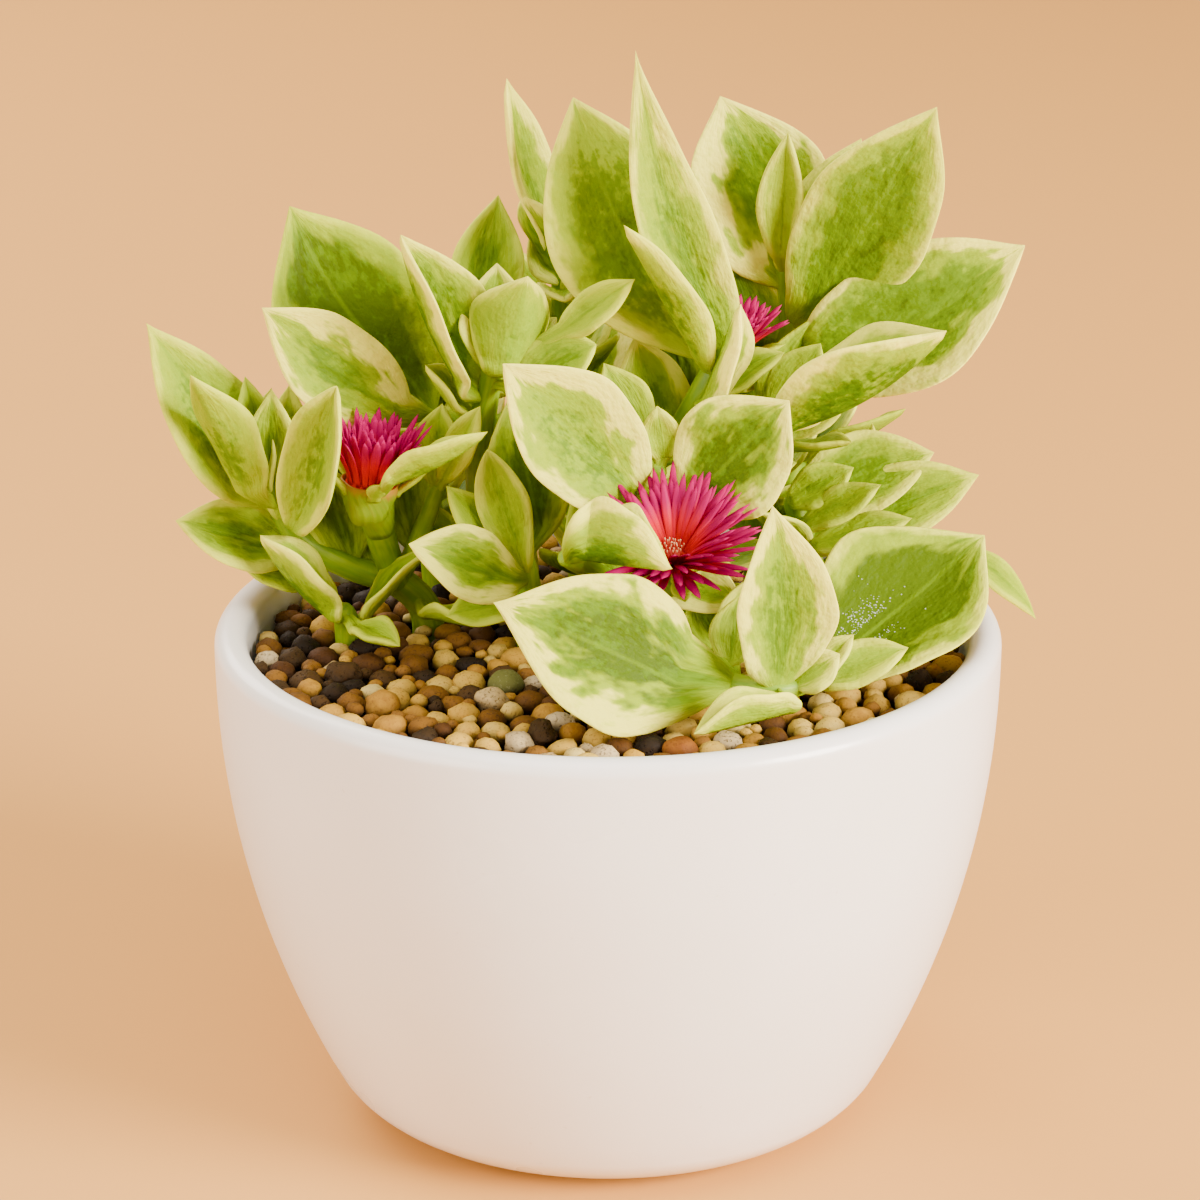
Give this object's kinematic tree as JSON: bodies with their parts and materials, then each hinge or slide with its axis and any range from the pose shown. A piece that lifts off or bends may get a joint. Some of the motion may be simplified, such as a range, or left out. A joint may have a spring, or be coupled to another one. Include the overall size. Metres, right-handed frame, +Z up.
{
  "type": "potted baby sunrose",
  "caption": "Bushy trailing succulent with cream-edged green leaves and small magenta daisy-like blooms, growing in a round bowl pot filled with mixed grit.",
  "frame": {"origin": "centre of the pot's flat base, where it rests", "axes": "+Z is up along the pot's axis; the plant's pictured side faces -Y, with the large low leaves; +X is to the right of a viewer looking at that side"},
  "size_m": [0.1028, 0.09, 0.1249],
  "materials": {
    "white_glaze": "satin white ceramic glaze",
    "mixed_grit": "dry mixed grit, matt",
    "pale_pumice": "matt, finely pitted",
    "green_grey_stone": "matt",
    "dark_lava": "matt, pitted",
    "tan_akadama": "matt baked clay",
    "orange_akadama": "matt baked clay",
    "variegated_leaf": "soft waxy leaf with a fine sparkle, green with cream margins",
    "magenta_petal": "silky",
    "cream_stamen": "matt"
  },
  "bodies": {
    "root": {"pot": "white_glaze", "grit_bed": "mixed_grit", "pumice_stone": "pale_pumice", "green_stone": "green_grey_stone", "lava_stone_left": "dark_lava", "lava_stone_front": "dark_lava", "tan_stone_left": "tan_akadama", "tan_stone_front": "tan_akadama", "tan_stone_right": "tan_akadama", "orange_stone": "orange_akadama", "left_shoot": "variegated_leaf", "low_left_shoot": "variegated_leaf", "upper_left_shoot": "variegated_leaf", "left_centre_shoot": "variegated_leaf", "centre_shoot": "variegated_leaf", "top_shoot": "variegated_leaf", "top_right_shoot": "variegated_leaf", "right_shoot": "variegated_leaf", "front_shoot": "variegated_leaf", "back_left_shoot": "variegated_leaf", "back_middle_shoot": "variegated_leaf", "back_right_shoot": "variegated_leaf", "left_bloom_petals": "magenta_petal", "left_bloom_stamens": "cream_stamen", "front_bloom_petals": "magenta_petal", "front_bloom_stamens": "cream_stamen", "top_bloom_petals": "magenta_petal", "top_bloom_stamens": "cream_stamen"}
  },
  "joints": []
}
